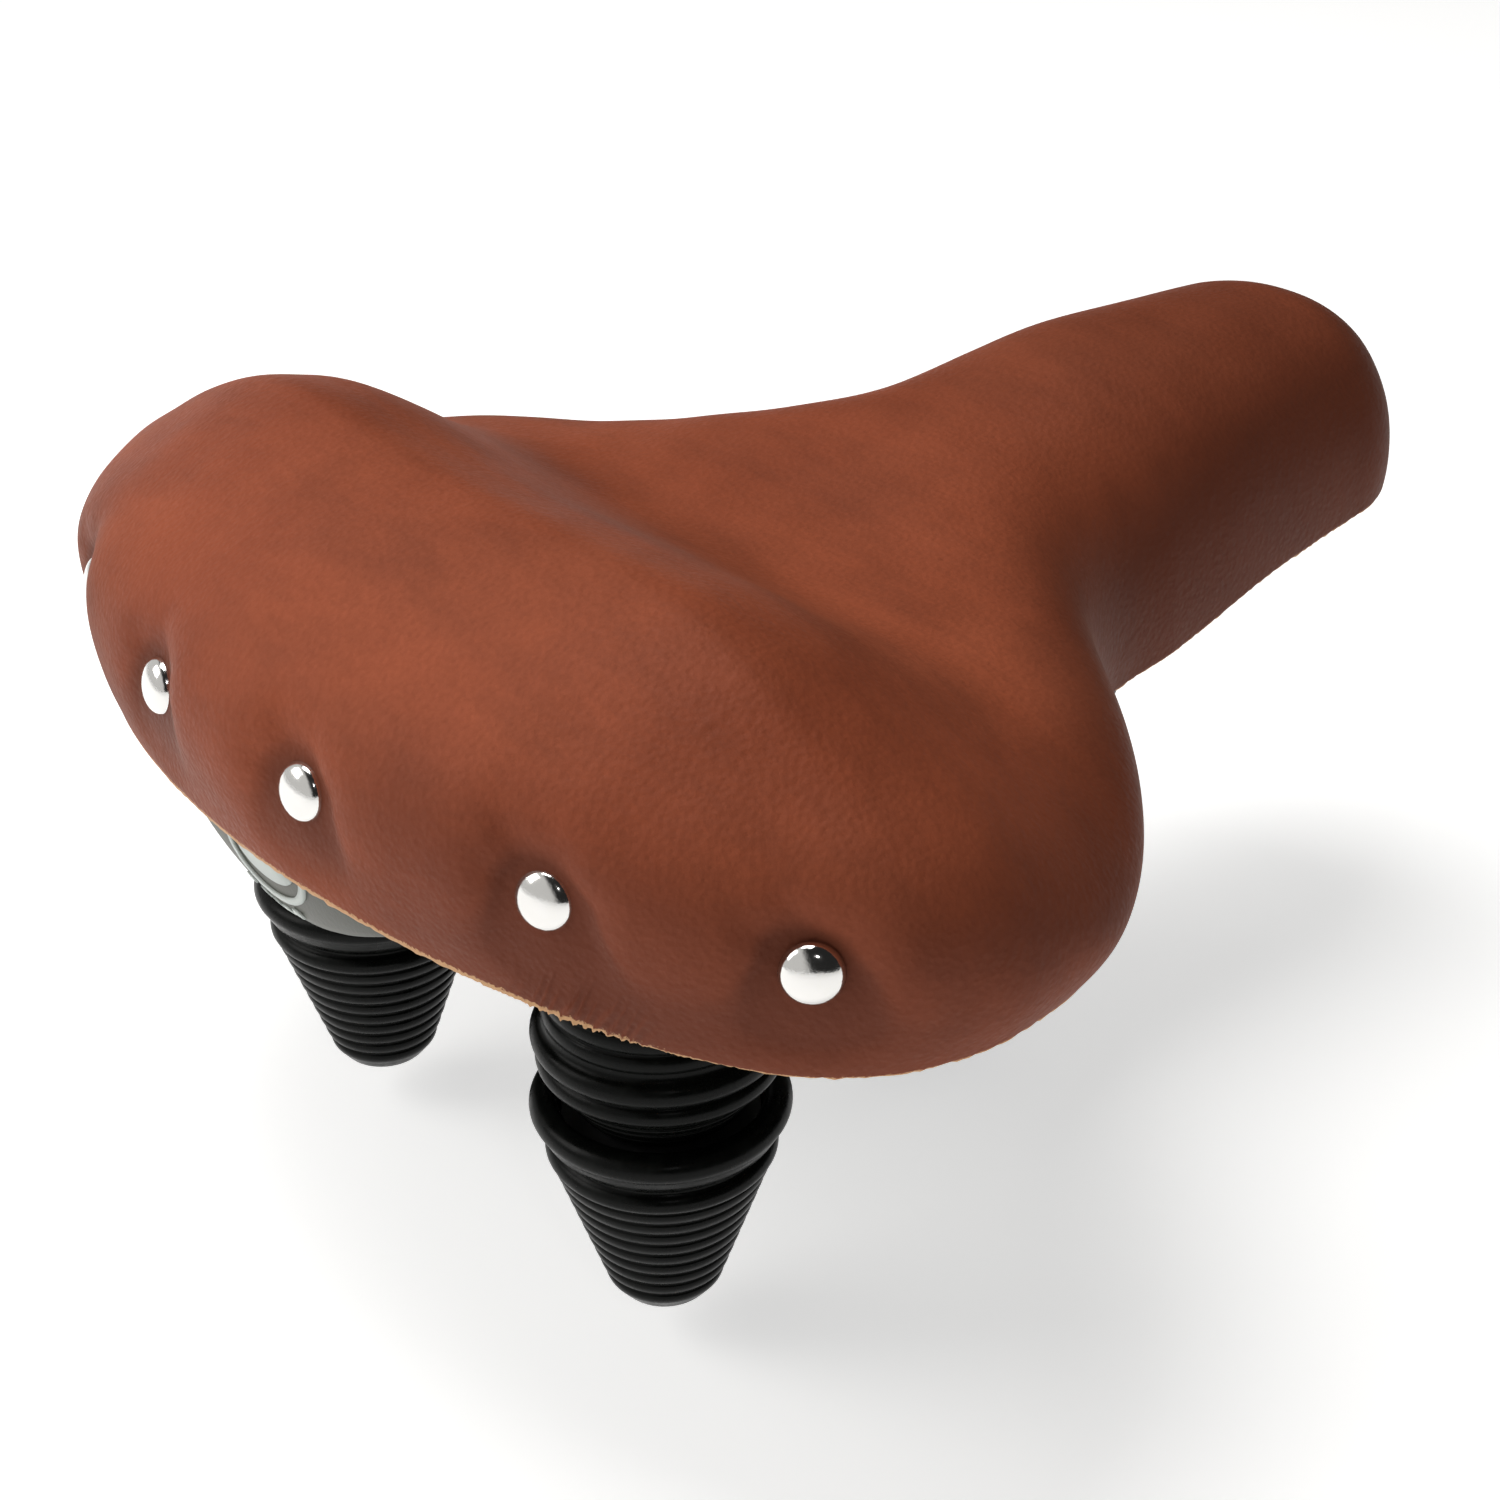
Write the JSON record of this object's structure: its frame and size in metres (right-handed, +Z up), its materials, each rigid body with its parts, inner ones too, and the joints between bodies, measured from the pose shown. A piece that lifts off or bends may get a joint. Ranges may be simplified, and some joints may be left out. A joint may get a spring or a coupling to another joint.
{
  "type": "bicycle saddle",
  "caption": "Wide sprung city saddle: padded suede-look cover with domed rivets on a plastic shell, booted rear springs, wire rails and a seat-post clamp",
  "frame": {"origin": "Centre of the mouth of the clamp's seat-post socket, on the post's axis.", "axes": "+X points to the saddle's nose, +Y to the rider's left, +Z up along the seat post."},
  "size_m": [0.2615, 0.2282, 0.1432],
  "materials": {
    "leather": "brown suede-look leathercloth, satin on the shoulders",
    "foam": "open-cell polyurethane foam",
    "shell_plastic": "dark grey-green moulded polypropylene",
    "badge": "pale printed plate, unmarked",
    "chrome": "polished chrome domes",
    "boot_rubber": "glossy black ribbed rubber",
    "spring_steel": "oiled spring steel",
    "zinc_steel": "zinc-plated steel",
    "black_steel": "black painted steel",
    "bush_plastic": "natural nylon"
  },
  "bodies": {
    "clamp": {"clamp_collar": "black_steel"},
    "cheeks": {"inner_cheek_left": "black_steel", "inner_cheek_right": "black_steel", "outer_cheek_left": "black_steel", "outer_cheek_right": "black_steel", "clamp_washer_left": "zinc_steel", "clamp_washer_right": "zinc_steel", "clamp_bolt": "zinc_steel", "clamp_nut": "zinc_steel"},
    "frame": {"rail_left": "black_steel", "rail_right": "black_steel", "eye_plate_left": "black_steel", "eye_plate_right": "black_steel", "rear_crossbar": "black_steel", "nose_yoke": "black_steel", "pivot_bush": "bush_plastic"},
    "seat": {"leather_cover": "leather", "foam_pad": "foam", "base_shell": "shell_plastic", "rear_badge": "badge", "rivet_left_1": "chrome", "rivet_left_2": "chrome", "rivet_left_3": "chrome", "rivet_right_1": "chrome", "rivet_right_2": "chrome", "rivet_right_3": "chrome", "nose_bracket": "zinc_steel", "nose_screw_1": "zinc_steel", "nose_screw_2": "zinc_steel", "pivot_pin": "zinc_steel", "pivot_clip": "spring_steel", "top_washer_left": "zinc_steel", "top_washer_right": "zinc_steel", "guide_bolt_left": "zinc_steel", "guide_bolt_right": "zinc_steel", "guide_nut_left": "zinc_steel", "guide_nut_right": "zinc_steel", "bottom_washer_left": "zinc_steel", "bottom_washer_right": "zinc_steel", "upper_boot_left": "boot_rubber", "upper_boot_right": "boot_rubber", "lower_boot_left": "boot_rubber", "lower_boot_right": "boot_rubber", "upper_spring_left": "spring_steel", "upper_spring_right": "spring_steel", "lower_spring_left": "spring_steel", "lower_spring_right": "spring_steel"}
  },
  "joints": [
    {"name": "clamp_tilt", "type": "hinge", "parent": "clamp", "child": "cheeks", "pos_m": [0, 0, 0.028], "axis": [0, 1, 0], "range_deg": [-12, 12]},
    {"name": "rail_slide", "type": "slide", "parent": "cheeks", "child": "frame", "axis": [1, 0, 0], "range_m": [-0.01, 0.01]},
    {"name": "suspension", "type": "hinge", "parent": "frame", "child": "seat", "pos_m": [0.07, 0, 0.083], "axis": [0, -1, 0], "range_deg": [0, 4], "stiffness_Nm_per_rad": 770, "deforming": ["upper_boot_left", "upper_boot_right", "lower_boot_left", "lower_boot_right", "upper_spring_left", "upper_spring_right", "lower_spring_left", "lower_spring_right"]}
  ]
}
